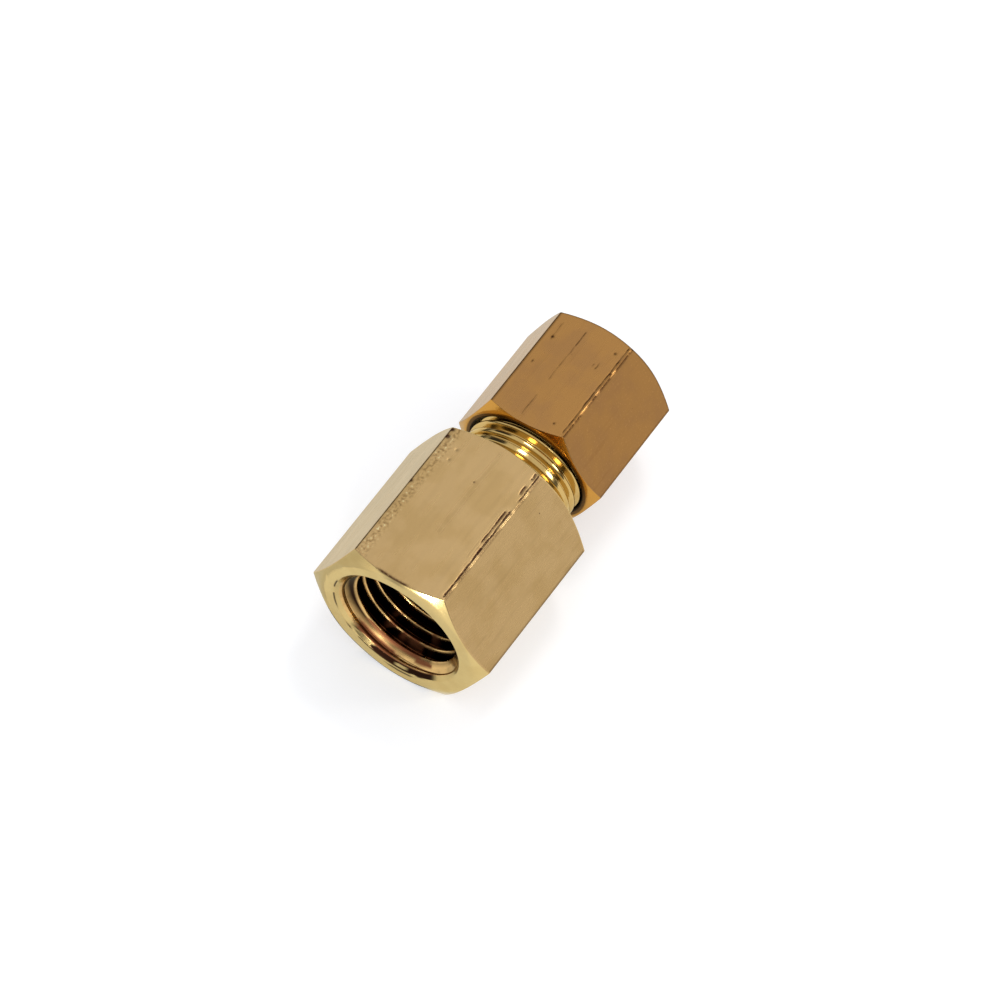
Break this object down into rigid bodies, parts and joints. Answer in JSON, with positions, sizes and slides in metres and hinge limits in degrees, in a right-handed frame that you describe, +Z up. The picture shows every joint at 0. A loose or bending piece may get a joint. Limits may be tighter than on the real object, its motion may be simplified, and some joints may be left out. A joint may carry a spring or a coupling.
{
  "type": "compression fitting",
  "caption": "Straight brass compression adapter: hexagon body with a female pipe port, threaded neck, loose ferrule inside, and a hexagon nut that screws along the neck.",
  "frame": {"origin": "centre of the fitting's box on the surface it lies on, under the middle of its length, with the nut at rest", "axes": "+X along the fitting's axis from the female pipe port to the tube end, +Z up from the body's bottom flat, +Y across the flats by the right-hand rule"},
  "size_m": [0.0356, 0.0202, 0.0175],
  "materials": {
    "body_brass": "drawn hexagon bar, satin and lightly tarnished, with bright turned ends and threads",
    "nut_brass": "drawn hexagon bar of a redder brass, satin, with bright turned chamfers",
    "ferrule_brass": "bright turned"
  },
  "bodies": {
    "body": {"adapter_body": "body_brass"},
    "ferrule": {"ferrule": "ferrule_brass"},
    "nut": {"compression_nut": "nut_brass"}
  },
  "joints": [
    {"name": "ferrule_slide", "type": "slide", "parent": "body", "child": "ferrule", "axis": [1, 0, 0], "range_m": [-0.00132, 0.00423]},
    {"name": "nut_turn", "type": "hinge", "parent": "ferrule", "child": "nut", "pos_m": [0.01105, 0, 0.00873], "axis": [1, 0, 0], "range_deg": [-450, 1440]}
  ],
  "couplings": [
    {"joint": "ferrule_slide", "follows": "nut_turn", "m_per_rad": 0.00016844}
  ]
}
